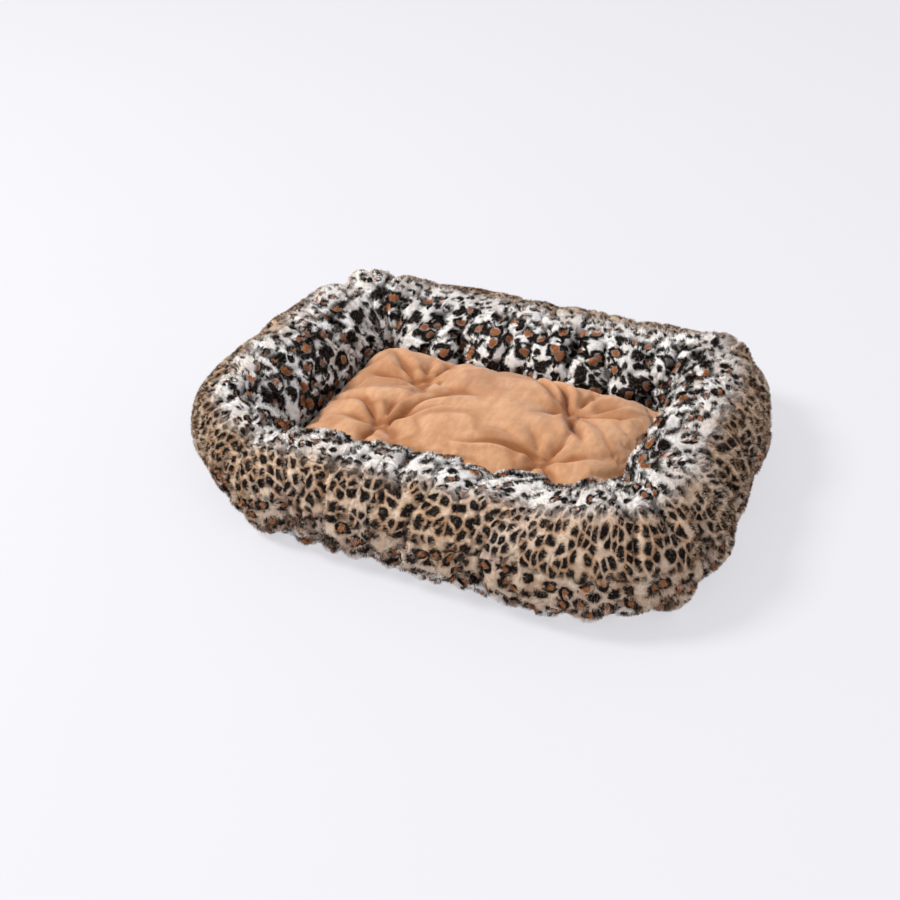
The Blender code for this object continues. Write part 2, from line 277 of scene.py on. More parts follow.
def ring_grid():
    """Plan station of each column, its fabric coordinate and the ring's grid of points."""
    fine = np.linspace(WRAP, WRAP + 4, 4001)
    middle = outline((HALF_X + WELL_X) / 2, (HALF_Y + WELL_Y) / 2, OUTER_CORNER * 0.6, fine)
    run = np.r_[0, np.cumsum(np.hypot(*np.diff(middle, axis=0).T))]
    along = np.arange(COLUMNS) / COLUMNS * run[-1]
    station = np.interp(along, run, fine)
    outer = footprint(0, station, run[-1])
    inner = outline(WELL_X, WELL_Y, WELL_CORNER, station)
    where, spread, shift = WELL_SHIFT
    inner = inner + unit(outer - inner) * (shift * along_weight(station, where, spread, run[-1]))[:, None]
    width = np.linalg.norm(inner - outer, axis=1)
    inwards = (inner - outer) / width[:, None]
    crown_height, crown_share = crest_line(station, run[-1])
    points = np.zeros((COLUMNS, ROWS, 3))
    arcs = np.zeros(COLUMNS)
    for i in range(COLUMNS):
        line, arcs[i] = section(width[i], crown_share[i], crown_height[i], PLUSH_INSET, ROWS)
        points[i, :, :2] = outer[i] + inwards[i] * line[:, :1]
        points[i, :, 2] = line[:, 1]
    return station, along, run[-1], arcs.mean(), points


station, along, ring_length, arc_length, base_points = ring_grid()
S = np.repeat(along[:, None], ROWS, 1)  # fabric, along the ring
V = np.repeat(np.linspace(0, arc_length, ROWS)[None], COLUMNS, 0)  # fabric, over the section


def hill(v, centre, spread):
    return np.exp(-((v - centre) / spread) ** 2)


CREST = 0.53 * arc_length
shoulder = hill(V, 0.45 * arc_length, 0.10 * arc_length)
outward = unit(np.concatenate([base_points[:, 8, :2] - base_points[:, 50, :2],
                               np.zeros((COLUMNS, 1))], 1))[:, None]
up = np.array([0, 0, 1.0])
back_left, back_right = (along_weight(station, where, 0.055, ring_length)[:, None] for where in (2.5, 1.55))
base_points = base_points + (back_left + back_right)[..., None] * shoulder[..., None] * (
    outward * 0.016 + up * 0.006)

base_normals = grid_normals(base_points)


def gathers(s, v, spacing, seed, wander):
    """Lobes between creases that run over the ring: 0 on a crease, 1 on a lobe's top."""
    count = int(round(ring_length / spacing))
    shifted = s / ring_length * count + wander * noise(s / 0.09, v / 0.075, seed, round(ring_length / 0.09)) \
        + 0.35 * wander * noise(s / 0.03, v / 0.03, seed + 1, round(ring_length / 0.03))
    cell = np.floor(shifted)
    jitter = 0.55
    before, left, right, after = (
        cell + step + jitter * (lattice((cell + step) % count, cell * 0, seed + 2) - 0.5)
        for step in (-1, 0, 1, 2))
    low = np.where(shifted < left, before, np.where(shifted > right, right, left))
    high = np.where(shifted < left, left, np.where(shifted > right, after, right))
    t = (shifted - low) / (high - low)
    return np.sqrt(np.maximum(0, 1 - (2 * t - 1) ** 2)) * np.sqrt(np.clip(high - low, 0.4, 1.4))


inner_share = smoothstep(0.50, 0.70, V / arc_length)
crown_share = hill(V, CREST, 0.16 * arc_length)
hem_share = 1 - smoothstep(0.03, 0.20, V / arc_length)
outer_share = np.clip(1 - inner_share - crown_share - hem_share, 0, 1)
puff = 10 * MM * inner_share * (gathers(S, V, 0.046, 3, 0.45) - 0.8) \
    + 9 * MM * crown_share * (gathers(S, V, 0.052, 3, 0.45) - 0.8) \
    + 5 * MM * hem_share * (gathers(S, V, 0.033, 9, 0.4) - 0.8) \
    + 5 * MM * outer_share * (gathers(S, V, 0.062, 15, 0.8) - 0.8) \
    + 2.5 * MM * noise(S / 0.035, V / 0.05, 21, round(ring_length / 0.035))
held = smoothstep(0, 2, np.arange(ROWS)) * smoothstep(0, 2, np.arange(ROWS)[::-1])
start_points = base_points + base_normals * (puff * held)[..., None]


def step_cloth(item, frames):
    """Run the object's cloth and return where its points end."""
    for number in range(1, frames + 1):
        bpy.context.scene.frame_set(number)
    shown = item.evaluated_get(bpy.context.evaluated_depsgraph_get())
    points = np.zeros(len(item.data.vertices) * 3, np.float32)
    shown.data.vertices.foreach_get("co", points)
    bpy.context.scene.frame_set(1)
    return points.reshape(-1, 3).astype(float)


def swell(points, faces, pinned, growth, pressure, tension, bending, frames):
    """Let cloth that is cut larger than its shape swell and fold, held at its pinned points."""
    item = make_mesh("cloth", points, faces)
    item.vertex_groups.new(name="held").add(pinned.tolist(), 1.0, "REPLACE")
    cloth = item.modifiers.new("cloth", "CLOTH")
    cloth.point_cache.frame_start, cloth.point_cache.frame_end = 1, frames + 1
    cloth.collision_settings.use_collision = False
    cloth.collision_settings.use_self_collision = False
    settings = cloth.settings
    settings.quality = 6
    settings.mass = 0.12
    settings.tension_stiffness = settings.compression_stiffness = tension
    settings.shear_stiffness = tension / 2
    settings.bending_stiffness = bending
    settings.shrink_min = settings.shrink_max = -growth
    settings.vertex_group_mass = "held"
    settings.use_pressure = True
    settings.uniform_pressure_force = pressure
    settings.effector_weights.gravity = 0
    ended = step_cloth(item, frames)
    mesh = item.data
    bpy.data.objects.remove(item)
    bpy.data.meshes.remove(mesh)
    return ended


def blurred(values, reach_s, reach_v):
    """A ring's grid of values, smoothed over metres along the ring and over its section."""
    mirrored = np.concatenate([values, values[:, ::-1]], 1)
    waves = [np.fft.fftfreq(mirrored.shape[0], ring_length / mirrored.shape[0])[:, None],
             np.fft.fftfreq(mirrored.shape[1], arc_length / values.shape[1])[None]]
    keep = np.exp(-2 * (math.pi * waves[0] * reach_s) ** 2 - 2 * (math.pi * waves[1] * reach_v) ** 2)
    soft = np.fft.ifft2(np.fft.fft2(mirrored, axes=(0, 1)) * keep[..., None], axes=(0, 1)).real
    return soft[:, :values.shape[1]]


def eased(x, top):
    """x, but easing off towards a top that it never passes."""
    return np.where(x > 0, top * np.tanh(x / top), x)


ring_faces = grid_faces(COLUMNS, ROWS, True)
rows = np.arange(COLUMNS * ROWS).reshape(COLUMNS, ROWS)
pinned = np.concatenate([rows[:, 0], rows[:, -1]])
ring_points = swell(start_points.reshape(-1, 3), ring_faces, pinned, growth=0.24,
                    pressure=3, tension=8, bending=0.04, frames=22).reshape(COLUMNS, ROWS, 3)
moved = ring_points - base_points
moved = 1.5 * (moved - blurred(moved, 0.030, 0.040)) * held[..., None]
proud = (moved * base_normals).sum(-1, keepdims=True)
aside = moved - proud * base_normals
proud = -eased(-eased(proud, 10 * MM), 24 * MM)
ring_points = base_points + base_normals * proud + aside

# Twice as fine, then the small wrinkles of the pile's backing
for grid_axis, closed in ((0, True), (1, False)):
    ring_points = doubled(ring_points, grid_axis, closed)
fine_columns, fine_rows = ring_points.shape[:2]
fine_along = np.arange(fine_columns) / fine_columns * ring_length
fine_station = np.interp(fine_along, np.r_[along, ring_length], np.r_[station, WRAP + 4])
S = np.repeat(fine_along[:, None], fine_rows, 1)
V = np.repeat(np.linspace(0, arc_length, fine_rows)[None], fine_columns, 0)
ring_normals = grid_normals(ring_points)
# How deep each point lies in a fold: it sets the painted shade in the plush's folds, and shortens the strands
# there
above = ((ring_points - blurred(ring_points, 0.018, 0.024)) * ring_normals).sum(-1)
hollow_shade = smoothstep(0.2 * MM, 4.0 * MM, -above)

warp_s = S + 0.008 * noise(S / 0.05, V / 0.05, 31, round(ring_length / 0.05))
warp_v = V + 0.010 * noise(S / 0.05, V / 0.05, 32, round(ring_length / 0.05))
near, far, _, _ = cells(warp_s / 0.022, warp_v / 0.042, 40)
small_crease = 1 - smoothstep(0.0, 0.17, far - near)
small_crease = small_crease * smoothstep(-0.35, 0.35, noise(S / 0.05, V / 0.05, 41))
ridge = 1 - np.abs(noise(warp_s / 0.013, warp_v / 0.06, 50))
small_crease = np.maximum(small_crease, smoothstep(0.86, 0.98, ridge) * 0.6)
fine_held = smoothstep(0, 4, np.arange(fine_rows)) * smoothstep(0, 4, np.arange(fine_rows)[::-1])
ring_points = ring_points - ring_normals * (small_crease * 2.2 * MM * fine_held)[..., None]
ring_points[..., 2] = np.maximum(ring_points[..., 2], MM)
ring_normals = grid_normals(ring_points)

side_of_column = np.floor(fine_station + 0.5).astype(int) % 4


def run_along(line):
    """Distance along a closed line to each of its points, and its length."""
    steps = np.linalg.norm(np.roll(line, -1, 0) - line, axis=1)
    return np.r_[0, np.cumsum(steps)]


# The print keeps its size on the outer wall and in the well, so each has its own distance along the ring
outer_run = run_along(footprint(0, fine_station, ring_length))
inner_run = run_along(outline(WELL_X + 0.03, WELL_Y + 0.03, WELL_CORNER + 0.03, fine_station))


def fabric_at(columns, v):
    """Print coordinates: along the outer wall, over the section, and along the well."""
    number = np.arange(fine_columns + 1)
    return np.stack([np.interp(columns, number, outer_run), v, np.interp(columns, number, inner_run)], -1)


fabric = fabric_at(np.repeat(np.arange(fine_columns)[:, None], fine_rows, 1), V)


# --- materials ---

class Graph:
    """Short names for building a material's nodes."""

    def __init__(self, name):
        self.material = bpy.data.materials.new(name)
        self.material.use_nodes = True
        self.tree = self.material.node_tree
        self.shader = self.tree.nodes["Principled BSDF"]

    def node(self, kind, inputs=(), **settings):
        made = self.tree.nodes.new(kind)
        for key, value in settings.items():
            setattr(made, key, value)
        for key, value in dict(inputs).items():
            self.give(made.inputs[key], value)
        return made

    def give(self, socket, value):
        if isinstance(value, bpy.types.NodeSocket):
            self.tree.links.new(value, socket)
        else:
            socket.default_value = value

    def math(self, operation, *values, clamp=False):
        made = self.node("ShaderNodeMath", operation=operation, use_clamp=clamp)
        for socket, value in zip(made.inputs, values):
            self.give(socket, value)
        return made.outputs[0]

    def vector(self, operation, *values):
        made = self.node("ShaderNodeVectorMath", operation=operation)
        for socket, value in zip(made.inputs, values):
            self.give(socket, value)
        return made.outputs[0]

    def step(self, value, low, high):
        """0 below low and 1 above high, smooth between them."""
        made = self.node("ShaderNodeMapRange", {"Value": value, "From Min": low, "From Max": high},
                         interpolation_type="SMOOTHSTEP")
        return made.outputs[0]

    def mix(self, factor, a, b):
        made = self.node("ShaderNodeMix", data_type="RGBA")
        self.give(made.inputs[0], factor)
        for socket, value in ((made.inputs[6], a), (made.inputs[7], b)):
            self.give(socket, (*value, 1) if isinstance(value, tuple) and len(value) == 3 else value)
        return made.outputs[2]

    def noise(self, vector, scale, detail=2.0, roughness=0.5):
        made = self.node("ShaderNodeTexNoise", {"Vector": vector, "Scale": scale, "Detail": detail,
                                                "Roughness": roughness})
        return made.outputs[0], made.outputs[1]

    def attribute(self, name):
        return self.node("ShaderNodeAttribute", attribute_name=name)

    def bump(self, height, distance, strength=1.0):
        made = self.node("ShaderNodeBump", {"Height": height, "Distance": distance, "Strength": strength})
        self.tree.links.new(made.outputs[0], self.shader.inputs["Normal"])

    def set(self, **values):
        for key, value in values.items():
            self.give(self.shader.inputs[key.replace("_", " ")], value)


WHITE_PILE = (0.95, 0.94, 0.93)
CREAM_PILE = (0.92, 0.80, 0.64)
TAN_PILE = (0.47, 0.275, 0.155)
RUST_PILE = (0.47, 0.17, 0.055)
DARK_RUST = (0.33, 0.12, 0.045)
BLACK_PILE = (0.015, 0.011, 0.010)
BLEACHED_TIPS = 0.30            # how far the tips of some strands go towards cream

# Zones of the print: the metres over the section, from the hem, in which each takes over from the one below
LOW_ZONE, OUTER_ZONE = (0.040, 0.046), (0.086, 0.096)
CREST_ZONE, INNER_ZONE = (0.136, 0.170), (0.186, 0.198)


# Marks of a zone: cell along and over the ring in metres, radius of the rusty core and of the dark ring in
# cells, softness, raggedness, offset of the pattern, share that are rusty, and how much smaller the rest are
HEM_MARKS = (0.0260, 0.0200, 0.22, 0.46, 0.05, 0.24, 3.1, 0.85, 0.10)
LOW_MARKS = (0.0190, 0.0150, 0.18, 0.47, 0.06, 0.22, 7.7, 0.70, 0.08)
CREST_MARKS = (0.0150, 0.0150, 0.16, 0.45, 0.07, 0.28, 5.9, 0.40, 0.08)
INNER_MARKS = (0.0245, 0.0300, 0.19, 0.48, 0.06, 0.44, 2.2, 0.72, 0.12)
SMALL_INNER_MARKS = (0.0125, 0.0200, 0.10, 0.33, 0.07, 0.38, 8.4, 0.0, 0.0)
OUTER_SPOTS = (0.0118, 0.0148, 0.44, 1.3)   # metres along and over, raggedness, offset


def print_layer(g, place, across, over, core, ring, soft, ragged, offset, rusty, shrink):
    """Leopard marks, one a cell: how dark and how rusty a point is, and how pale the ground round it."""
    at = g.vector("MULTIPLY", place, (1 / across, 1 / over, 0))
    at = g.vector("ADD", at, (offset, offset * 1.7, 0))
    mark = g.node("ShaderNodeTexVoronoi", {"Vector": at, "Scale": 1.0, "Randomness": 0.78},
                  voronoi_dimensions="2D", feature="F1")
    rough, _ = g.noise(at, 2.1, 2.0)
    tear, _ = g.noise(g.vector("ADD", at, (9.3, 4.1, 0)), 1.7, 1.0)
    distance = g.math("MULTIPLY_ADD", g.math("SUBTRACT", rough, 0.5), ragged, mark.outputs["Distance"])
    chance = g.node("ShaderNodeSeparateColor", {"Color": mark.outputs["Color"]}).outputs[0]
    inside = g.math("SUBTRACT", 1.0, g.step(distance, core - 0.05, core + 0.05))
    is_rusty = g.step(chance, 1 - rusty - 0.02, 1 - rusty + 0.02)
    rust = g.math("MULTIPLY", inside, is_rusty)
    if shrink:
        distance = g.math("MULTIPLY_ADD", g.math("SUBTRACT", 1.0, is_rusty), shrink, distance)
    edge = g.math("SUBTRACT", 1.0, g.step(distance, ring - soft, ring + soft))
    torn = g.math("MULTIPLY", g.step(tear, 0.56, 0.61), g.step(chance, 0.2, 0.4))
    dark = g.math("MULTIPLY", edge, g.math("SUBTRACT", 1.0, torn))
    dark = g.math("MULTIPLY", dark, g.math("SUBTRACT", 1.0, rust))
    return dark, rust, g.step(distance, ring, ring + 0.30)


def spot_layer(g, place, across, over, ragged, offset):
    """Close-set dark spots, one a cell, that never touch: how dark, and how pale the ground is."""
    at = g.vector("ADD", g.vector("MULTIPLY", place, (1 / across, 1 / over, 0)), (offset, offset * 1.7, 0))
    round_it, to_edge = (g.node("ShaderNodeTexVoronoi", {"Vector": at, "Scale": 1.0, "Randomness": 0.80},
                                voronoi_dimensions="2D", feature=feature).outputs["Distance"]
                         for feature in ("F1", "DISTANCE_TO_EDGE"))
    rough, _ = g.noise(at, 2.3, 2.0)
    out = g.math("MULTIPLY_ADD", g.math("SUBTRACT", rough, 0.5), ragged, round_it)
    dark = g.math("MULTIPLY", g.math("SUBTRACT", 1.0, g.step(out, 0.38, 0.60)), g.step(to_edge, 0.04, 0.18))
    return dark, g.step(out, 0.46, 0.74)


def plush_material():
    """Printed plush, with painted shade in the folds, in the small creases and at the strands' roots, and
    painted light at their tips. Some strands are bleached at their tips.
    """
    g = Graph("leopard_plush")
    place = g.attribute("fabric").outputs["Vector"]
    strand = g.attribute("pile")
    parting_and_crease_shade, painted_light, chance = g.node("ShaderNodeSeparateColor", {"Color": strand.outputs["Color"]}).outputs
    tip = strand.outputs["Alpha"]
    for scale, reach in ((30.0, 0.014), (150.0, 0.0035)):
        _, drift = g.noise(place, scale, 2.0)
        drift = g.vector("SUBTRACT", drift, (0.5, 0.5, 0.5))
        place = g.vector("ADD", place, g.vector("MULTIPLY", drift, (reach, reach, reach)))
    _, over, inside = g.node("ShaderNodeSeparateXYZ", {"Vector": place}).outputs
    in_well = g.node("ShaderNodeCombineXYZ", {"X": inside, "Y": over}).outputs[0]
    on_crest = g.vector("MULTIPLY", g.vector("ADD", place, in_well), (0.5, 0.5, 0))
    hem = print_layer(g, place, *HEM_MARKS)
    low = print_layer(g, place, *LOW_MARKS)
    outer = spot_layer(g, place, *OUTER_SPOTS)
    crest = print_layer(g, on_crest, *CREST_MARKS)
    inner = print_layer(g, in_well, *INNER_MARKS)
    small = print_layer(g, in_well, *SMALL_INNER_MARKS)
    above = [g.step(over, *zone) for zone in (LOW_ZONE, OUTER_ZONE, CREST_ZONE, INNER_ZONE)]

    def banded(values):
        """One value from the five zones' values: hem, low, outer, crest and inner."""
        value = values[0]
        for mask, other in zip(above, values[1:]):
            made = g.node("ShaderNodeMix", {0: mask}, data_type="FLOAT")
            g.give(made.inputs[2], value)
            g.give(made.inputs[3], other)
            value = made.outputs[0]
        return value

    inner_dark = g.math("MAXIMUM", inner[0], g.math("MULTIPLY", small[0], g.math("SUBTRACT", 1.0, inner[1])))
    dark = banded([hem[0], low[0], outer[0], crest[0], inner_dark])
    rust = banded([hem[1], low[1], 0.0, crest[1], inner[1]])
    tan = banded([0.22, 0.85, 1.0, 0.14, 0.0])
    pale = g.math("MULTIPLY", banded([0.0, low[2], outer[1], 0.0, 0.0]), 0.42)
    streak, _ = g.noise(place, 70.0, 2.0)
    patch, _ = g.noise(place, 14.0, 2.0)
    tan = g.math("MULTIPLY_ADD", g.math("SUBTRACT", patch, 0.5), 0.9, tan, clamp=True)
    ground = g.mix(tan, WHITE_PILE, TAN_PILE)
    ground = g.mix(g.math("MULTIPLY", g.step(streak, 0.44, 0.68), 0.25), ground, CREAM_PILE)
    ground = g.mix(pale, ground, CREAM_PILE)
    rust_tone, _ = g.noise(place, 90.0, 2.0)
    ground = g.mix(g.math("MULTIPLY", parting_and_crease_shade, 0.4), ground, CREAM_PILE)
    color = g.mix(rust, ground, g.mix(rust_tone, DARK_RUST, RUST_PILE))
    color = g.mix(dark, color, BLACK_PILE)
    bleached = g.math("MULTIPLY", tip, g.step(chance, 0.55, 0.95))
    color = g.mix(g.math("MULTIPLY", bleached, BLEACHED_TIPS), color, CREAM_PILE)
    # Painted shade in the folds and at the strands' roots, painted light at their tips, painted shade in the
    # small creases, and a random tone a strand
    shade = g.math("MULTIPLY_ADD", painted_light, 0.82, 0.18)
    shade = g.math("MULTIPLY", shade, g.math("MULTIPLY_ADD", g.step(parting_and_crease_shade, 0.3, 1.0), -0.55, 1.0))
    shade = g.math("MULTIPLY", shade, g.math("MULTIPLY_ADD", chance, 0.56, 0.72))
    made = g.node("ShaderNodeVectorMath", operation="SCALE")
    g.give(made.inputs[0], color)
    g.give(made.inputs["Scale"], shade)
    g.set(Base_Color=made.outputs[0], Roughness=1.0, Specular_IOR_Level=0.0)
    return g.material


plush = plush_material()


def dress(item, body, material):
    """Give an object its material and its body."""
    item.data.materials.clear()
    item.data.materials.append(material)
    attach(item, body)
    return item


# --- bolster covers and their pile ---

def side_columns(side):
    """Columns of one side, with the first column of the next side, so that the sides meet."""
    columns = np.nonzero(side_of_column == side)[0]
    return np.r_[columns, (columns[-1] + 1) % fine_columns]


def add_cover(side):
    """Backing of one side's plush, which stands for the CAD's cover and fill."""
    columns = side_columns(side)
    points = ring_points[columns]
    faces = grid_faces(len(columns), fine_rows, False)
    item = make_mesh("cover_" + SIDES[side], points.reshape(-1, 3), faces)
    add_point_values(item, "fabric", fabric[columns].reshape(-1, 3))
    # Per point: the small creases, for the parting of the pile and its painted shade; painted shade in the
    # folds; and a middling random tone
    pile = np.zeros((len(columns), fine_rows, 4))
    pile[..., 0] = small_crease[columns]
    pile[..., 1] = 1 - hollow_shade[columns]
    pile[..., 2] = 0.5
    add_point_values(item, "pile", pile.reshape(-1, 4))
    across, over = np.meshgrid(np.linspace(0, 1, len(columns)), np.linspace(0, 1, fine_rows), indexing="ij")
    add_bake_map(item, np.stack([across, over], -1).reshape(-1, 2))
    dress(item, "bed", plush)
    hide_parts("bolster_cover_" + SIDES[side], "bolster_fill_" + SIDES[side])


PILE_LENGTH = 5.2 * MM
PILE_WIDTH = 0.62 * MM
PILE_PER_PIECE = 65000
CLUMP = 5.5 * MM                # between the middles of neighbouring clumps of strands
SHORT_AT_HEM = 0.30             # how much shorter the strands at the hem are
PIECES_PER_SIDE = 2

along_ring = unit(np.roll(ring_points, -1, 0) - np.roll(ring_points, 1, 0))
over_ring = unit(np.gradient(ring_points, axis=1))
crease_slope_s = np.roll(small_crease, -1, 0) - np.roll(small_crease, 1, 0)
crease_slope_v = np.gradient(small_crease, axis=1)


def add_pile(name, columns, count):
    """Tapered strands that lean and clump, parted along the small creases."""
    a, b = columns[:-1], columns[1:]
    p = ring_points
    area = np.linalg.norm(np.cross(p[b, :-1] - p[a, :-1], p[a, 1:] - p[a, :-1]), axis=-1)
    pick = rng.choice(area.size, count, p=(area / area.sum()).ravel())
    i, j = np.divmod(pick, fine_rows - 1)
    fu, fv = rng.random((2, count))
    first, second = a[i], b[i]

    def sample(values):
        shape = (count,) + (1,) * (values.ndim - 2)
        u, v = fu.reshape(shape), fv.reshape(shape)
        return (values[first, j] * (1 - u) + values[second, j] * u) * (1 - v) \
            + (values[first, j + 1] * (1 - u) + values[second, j + 1] * u) * v

    root, normal = sample(ring_points), unit(sample(ring_normals))
    tu, tv = sample(along_ring), sample(over_ring)
    s = (first + fu) * ring_length / fine_columns
    v = (j + fv) * arc_length / (fine_rows - 1)
    turn = 2.6 * noise(s / 0.045, v / 0.045, 60) + 1.3 * noise(s / 0.014, v / 0.014, 61) - math.pi / 2
    lean_u = np.cos(turn) - 3.0 * sample(crease_slope_s) + 0.5 * rng.normal(size=count)
    lean_v = np.sin(turn) - 3.0 * sample(crease_slope_v) + 0.5 * rng.normal(size=count)
    aside = unit(tu * lean_u[:, None] + tv * lean_v[:, None])
    _, _, to_s, to_v = cells(s / CLUMP, v / CLUMP, 70, 1.0)
    pull = (tu * to_s[:, None] + tv * to_v[:, None]) * CLUMP * 0.55
    length = PILE_LENGTH * rng.uniform(0.75, 1.1, count) * (1 - 0.35 * sample(small_crease)) \
        * (1 - 0.35 * sample(hollow_shade)) * (1 - SHORT_AT_HEM * smoothstep(0.030, 0.008, v))
    lean = np.radians(np.clip(rng.normal(46, 9, count), 20, 70))
    low, high = (lean * 0.55)[:, None], (lean * 1.35)[:, None]
    half = (length / 2)[:, None]
    middle = root + (normal * np.cos(low) + aside * np.sin(low)) * half + pull * 0.4
    end = middle + (normal * np.cos(high) + aside * np.sin(high)) * half + pull * 0.6
    way = unit(end - root)
    wide = unit(np.cross(way, normal) + 0.45 * rng.normal(size=(count, 1)) * normal)
    wide = wide * (PILE_WIDTH / 2 * rng.uniform(0.7, 1.2, count))[:, None]
    sunk = root - normal * 0.5 * MM
    points = np.stack([sunk - wide, sunk + wide, middle + wide * 0.85, middle - wide * 0.85, end], 1)
    points[..., 2] = np.maximum(points[..., 2], 0.4 * MM)
    start = 5 * np.arange(count)[:, None]
    faces = np.concatenate([start + [0, 1, 2], start + [0, 2, 3], start + [3, 2, 4]])
    item = make_mesh(name, points.reshape(-1, 3), faces)
    face_normal = unit(np.cross(wide, way))
    soft = unit(normal * 0.7 + face_normal * 0.3 + 0.12 * rng.normal(size=(count, 3)))
    item.data.normals_split_custom_set_from_vertices(np.repeat(soft, 5, 0))
    add_point_values(item, "fabric", np.repeat(fabric_at(first + fu, v), 5, 0))
    # Per point: the small creases, for the parting of the pile and its painted shade; painted shade in the
    # folds, and at the strand's root with painted light at its tip; a random tone a strand; and how far along
    # the strand it is
    pile = np.zeros((count, 5, 4))
    pile[..., 0] = (sample(small_crease) * 0.8)[:, None]
    pile[..., 1] = (1 - sample(hollow_shade))[:, None] * np.array([0.78, 0.78, 0.98, 0.98, 1.12])
    pile[..., 2] = rng.random(count)[:, None]
    pile[..., 3] = [0, 0, 0.4, 0.4, 1]
    add_point_values(item, "pile", pile.reshape(-1, 4))
    span = (columns[-1] - columns[0]) % fine_columns
    uv = np.stack([((first - columns[0]) % fine_columns + fu) / span, v / arc_length], -1)
    step = np.array([[-0.001, 0], [0.001, 0], [0.001, 0.001], [-0.001, 0.001], [0, 0.002]])
    add_bake_map(item, np.clip(uv[:, None] + step, 0, 1).reshape(-1, 2))
    dress(item, "bed", plush)


for side in range(4):
    add_cover(side)
    columns = side_columns(side)
    cuts = np.linspace(0, len(columns) - 1, PIECES_PER_SIDE + 1).astype(int)
    for number, (first, last) in enumerate(zip(cuts[:-1], cuts[1:]), 1):
        add_pile(f"pile_{SIDES[side]}_{number}", columns[first:last + 1], PILE_PER_PIECE)


# --- the cushion ---

CUSHION_LOW = min(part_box("cushion_bottom_cover")[0].z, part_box("cushion_fill")[0].z)
CUSHION_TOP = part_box("cushion_top_cover")[1].z
CUSHION_X, CUSHION_Y = WELL_X - 4 * MM, WELL_Y - 4 * MM
SEAM_HEIGHT = 0.026
SIDE_PULL = 0.006
CORNER_EASE = WELL_CORNER * (1 - math.sqrt(0.5))
TUFT_DEPTH, BOTTOM_TUFT_DEPTH = 0.029, 0.007
TUFT_FLAT = 0.0055
MAX_SWELL = 12 * MM
LEFT_STRETCH = 1.03             # the left half is pulled towards its end
CORNER_PEAK = 14 * MM           # the back left corner stands up
P_STEPS, Q_STEPS = 92, 60

# Folds that run from each tuft: degrees from +X, length and depth. Tufts go by name: back left, back right,
# front left, front right
TUFT_FOLDS = (
    ((151, 0.110, 0.016), (102, 0.075, 0.013), (192, 0.100, 0.013), (62, 0.090, 0.010), (5, 0.055, 0.008),
     (236, 0.060, 0.008), (300, 0.070, 0.010)),
    ((134, 0.160, 0.018), (158, 0.150, 0.010), (13, 0.110, 0.011), (44, 0.100, 0.008), (278, 0.130, 0.016),
     (215, 0.080, 0.010), (90, 0.080, 0.010)),
    ((55, 0.170, 0.016), (34, 0.110, 0.013), (147, 0.120, 0.014), (100, 0.080, 0.010), (190, 0.090, 0.011),
     (250, 0.070, 0.011), (320, 0.080, 0.011)),
    ((172, 0.150, 0.016), (152, 0.110, 0.011), (120, 0.080, 0.010), (60, 0.090, 0.011), (15, 0.100, 0.011),
     (250, 0.070, 0.011), (310, 0.090, 0.011)),
)

threads = [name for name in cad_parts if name.startswith("tuft_thread")]
tufts = np.array([[(a + b) / 2 for a, b in zip(*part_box(name))][:2] for name in sorted(threads)])


def cushion_plan(p, q):
    ease = CORNER_EASE * (p * q) ** 4
    x = p * (CUSHION_X - SIDE_PULL * (1 - q * q) - ease)
    y = q * (CUSHION_Y - SIDE_PULL * (1 - p * p) - ease)
    return x, y


def tuft_fields(x, y, spread):
    """A dimple round each tuft, and the folds that run from it: below 0 in a fold, above 0 on a ridge."""
    dimple, folds = np.zeros_like(x), np.zeros_like(x)
    bend = 0.5 * noise(x / 0.07, y / 0.07, 90)
    for (tx, ty), rays in zip(tufts, TUFT_FOLDS):
        dx, dy = x - tx, y - ty
        r = np.hypot(dx, dy)
        dimple = np.maximum(dimple, np.exp(-(np.maximum(0, r - TUFT_FLAT) / spread) ** 1.3))
        for angle, length, depth in rays:
            turn = np.arctan2(dy, dx) - math.radians(angle) - bend * r / 0.1
            aside, ahead = np.abs(r * np.sin(turn)), r * np.cos(turn)
            reach = np.clip(ahead / length, 0, 1)
            width = 0.0026 + 0.0075 * np.sqrt(reach)
            strength = depth * smoothstep(0, 0.012, ahead) * (1 - reach) ** 1.2
            folds -= strength * (np.exp(-(aside / width) ** 1.1)
                                 - 0.4 * np.exp(-((aside / width - 2.2) / 1.1) ** 2))
    return dimple, folds


def closer_at_ends(steps):
    """Values from -1 to 1 that lie closer together towards both ends."""
    reach = math.pi / 2 * 0.86
    return np.sin(np.linspace(-1, 1, steps) * reach) / math.sin(reach)


def cushion_points():
    """Grids of points of the upper and lower panels, and how full the cushion is at each."""
    p, q = np.meshgrid(closer_at_ends(P_STEPS), closer_at_ends(Q_STEPS), indexing="ij")
    x, y = cushion_plan(p, q)
    full = np.sqrt(np.maximum(0, (1 - np.abs(p) ** 3.2) * (1 - np.abs(q) ** 3.2)))
    dimple, folds = tuft_fields(x, y, 0.030)
    height = CUSHION_TOP - CUSHION_LOW - SEAM_HEIGHT
    rise = (height - 11 * MM) * full - (TUFT_DEPTH - 11 * MM) * dimple * full
    rise = rise + (0.3 * folds + 2 * MM * noise(x / 0.035, y / 0.035, 80)) * full * (1 - dimple ** 4)
    top = np.stack([x, y, CUSHION_LOW + SEAM_HEIGHT + rise], -1)
    drop = SEAM_HEIGHT * (1 - (1 - full) ** 2)
    low_dimple, _ = tuft_fields(x, y, 0.020)
    bottom = np.stack([x, y, CUSHION_LOW + SEAM_HEIGHT - drop + BOTTOM_TUFT_DEPTH * low_dimple * full], -1)
    return top, bottom, full


